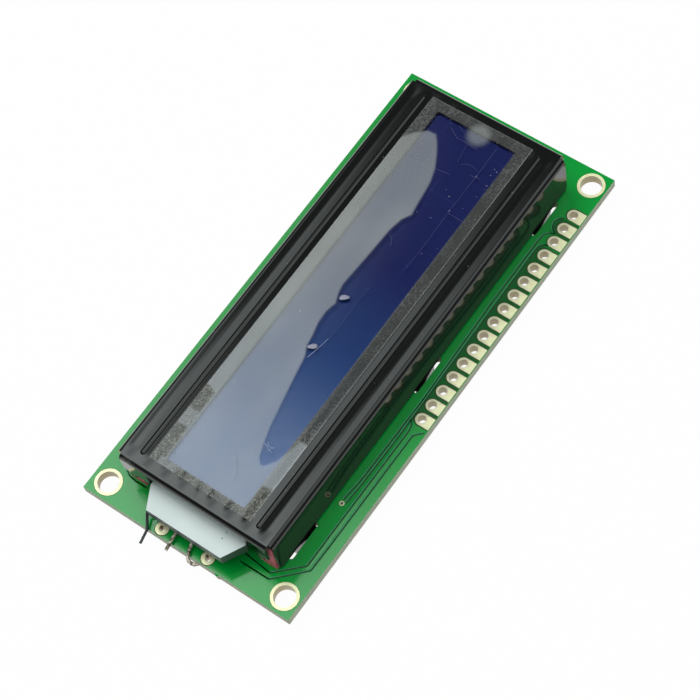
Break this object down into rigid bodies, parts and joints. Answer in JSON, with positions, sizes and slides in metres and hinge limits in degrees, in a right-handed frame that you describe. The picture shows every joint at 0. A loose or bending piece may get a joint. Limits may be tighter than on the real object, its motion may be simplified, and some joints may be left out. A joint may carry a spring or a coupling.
{
  "type": "character LCD module",
  "caption": "Flat display module: a green printed board with a black bezel over a blue liquid crystal cell, a side backlight, a row of header pads and corner mounting holes.",
  "frame": {"origin": "centre of the four mounting holes, on the board's front face", "axes": "+X towards the backlight's tongue, +Y towards the header pads, +Z out of the display"},
  "size_m": [0.0824, 0.036, 0.0112],
  "materials": {
    "solder_masked_laminate": "green solder mask over woven glass laminate",
    "tinned_copper": "dull tin over copper pads",
    "black_steel": "black semi-gloss stoved finish on pressed steel",
    "clear_film": "clear peel-off film, dusty at its lap",
    "cell_glass": "clear float glass",
    "blue_polariser": "deep blue polariser sheet",
    "cell_epoxy": "cured epoxy",
    "pink_elastomer": "soft pink silicone",
    "white_moulding": "white moulded plastic",
    "clear_acrylic": "clear moulded acrylic",
    "white_film": "white optical film",
    "lamp_carrier": "thin laminate strip",
    "lamp": "cast lens over a chip lamp",
    "wire": "dull tinned wire",
    "black_epoxy": "black epoxy drop",
    "black_ceramic": "black chip resistor body",
    "tan_ceramic": "tan chip capacitor body"
  },
  "bodies": {
    "root": {"circuit_board": "solder_masked_laminate", "mounting_hole_pads": "tinned_copper", "header_pads": "tinned_copper", "backlight_pads": "tinned_copper", "contact_fingers_header_side": "tinned_copper", "contact_fingers_free_side": "tinned_copper", "bezel": "black_steel", "protective_film": "clear_film", "front_polariser": "blue_polariser", "front_glass": "cell_glass", "cell_seal": "cell_epoxy", "fill_port_plug": "cell_epoxy", "rear_glass": "cell_glass", "rear_polariser": "blue_polariser", "elastomer_header_side": "pink_elastomer", "elastomer_free_side": "pink_elastomer", "diffuser_film": "white_film", "light_guide": "clear_acrylic", "reflector_film": "white_film", "backlight_housing": "white_moulding", "led_carrier": "lamp_carrier", "backlight_leds": "lamp", "backlight_leads": "wire", "controller_glob_top": "black_epoxy", "driver_glob_top": "black_epoxy", "resistor_bodies": "black_ceramic", "resistor_ends": "tinned_copper", "capacitor_bodies": "tan_ceramic", "capacitor_ends": "tinned_copper"}
  },
  "joints": []
}
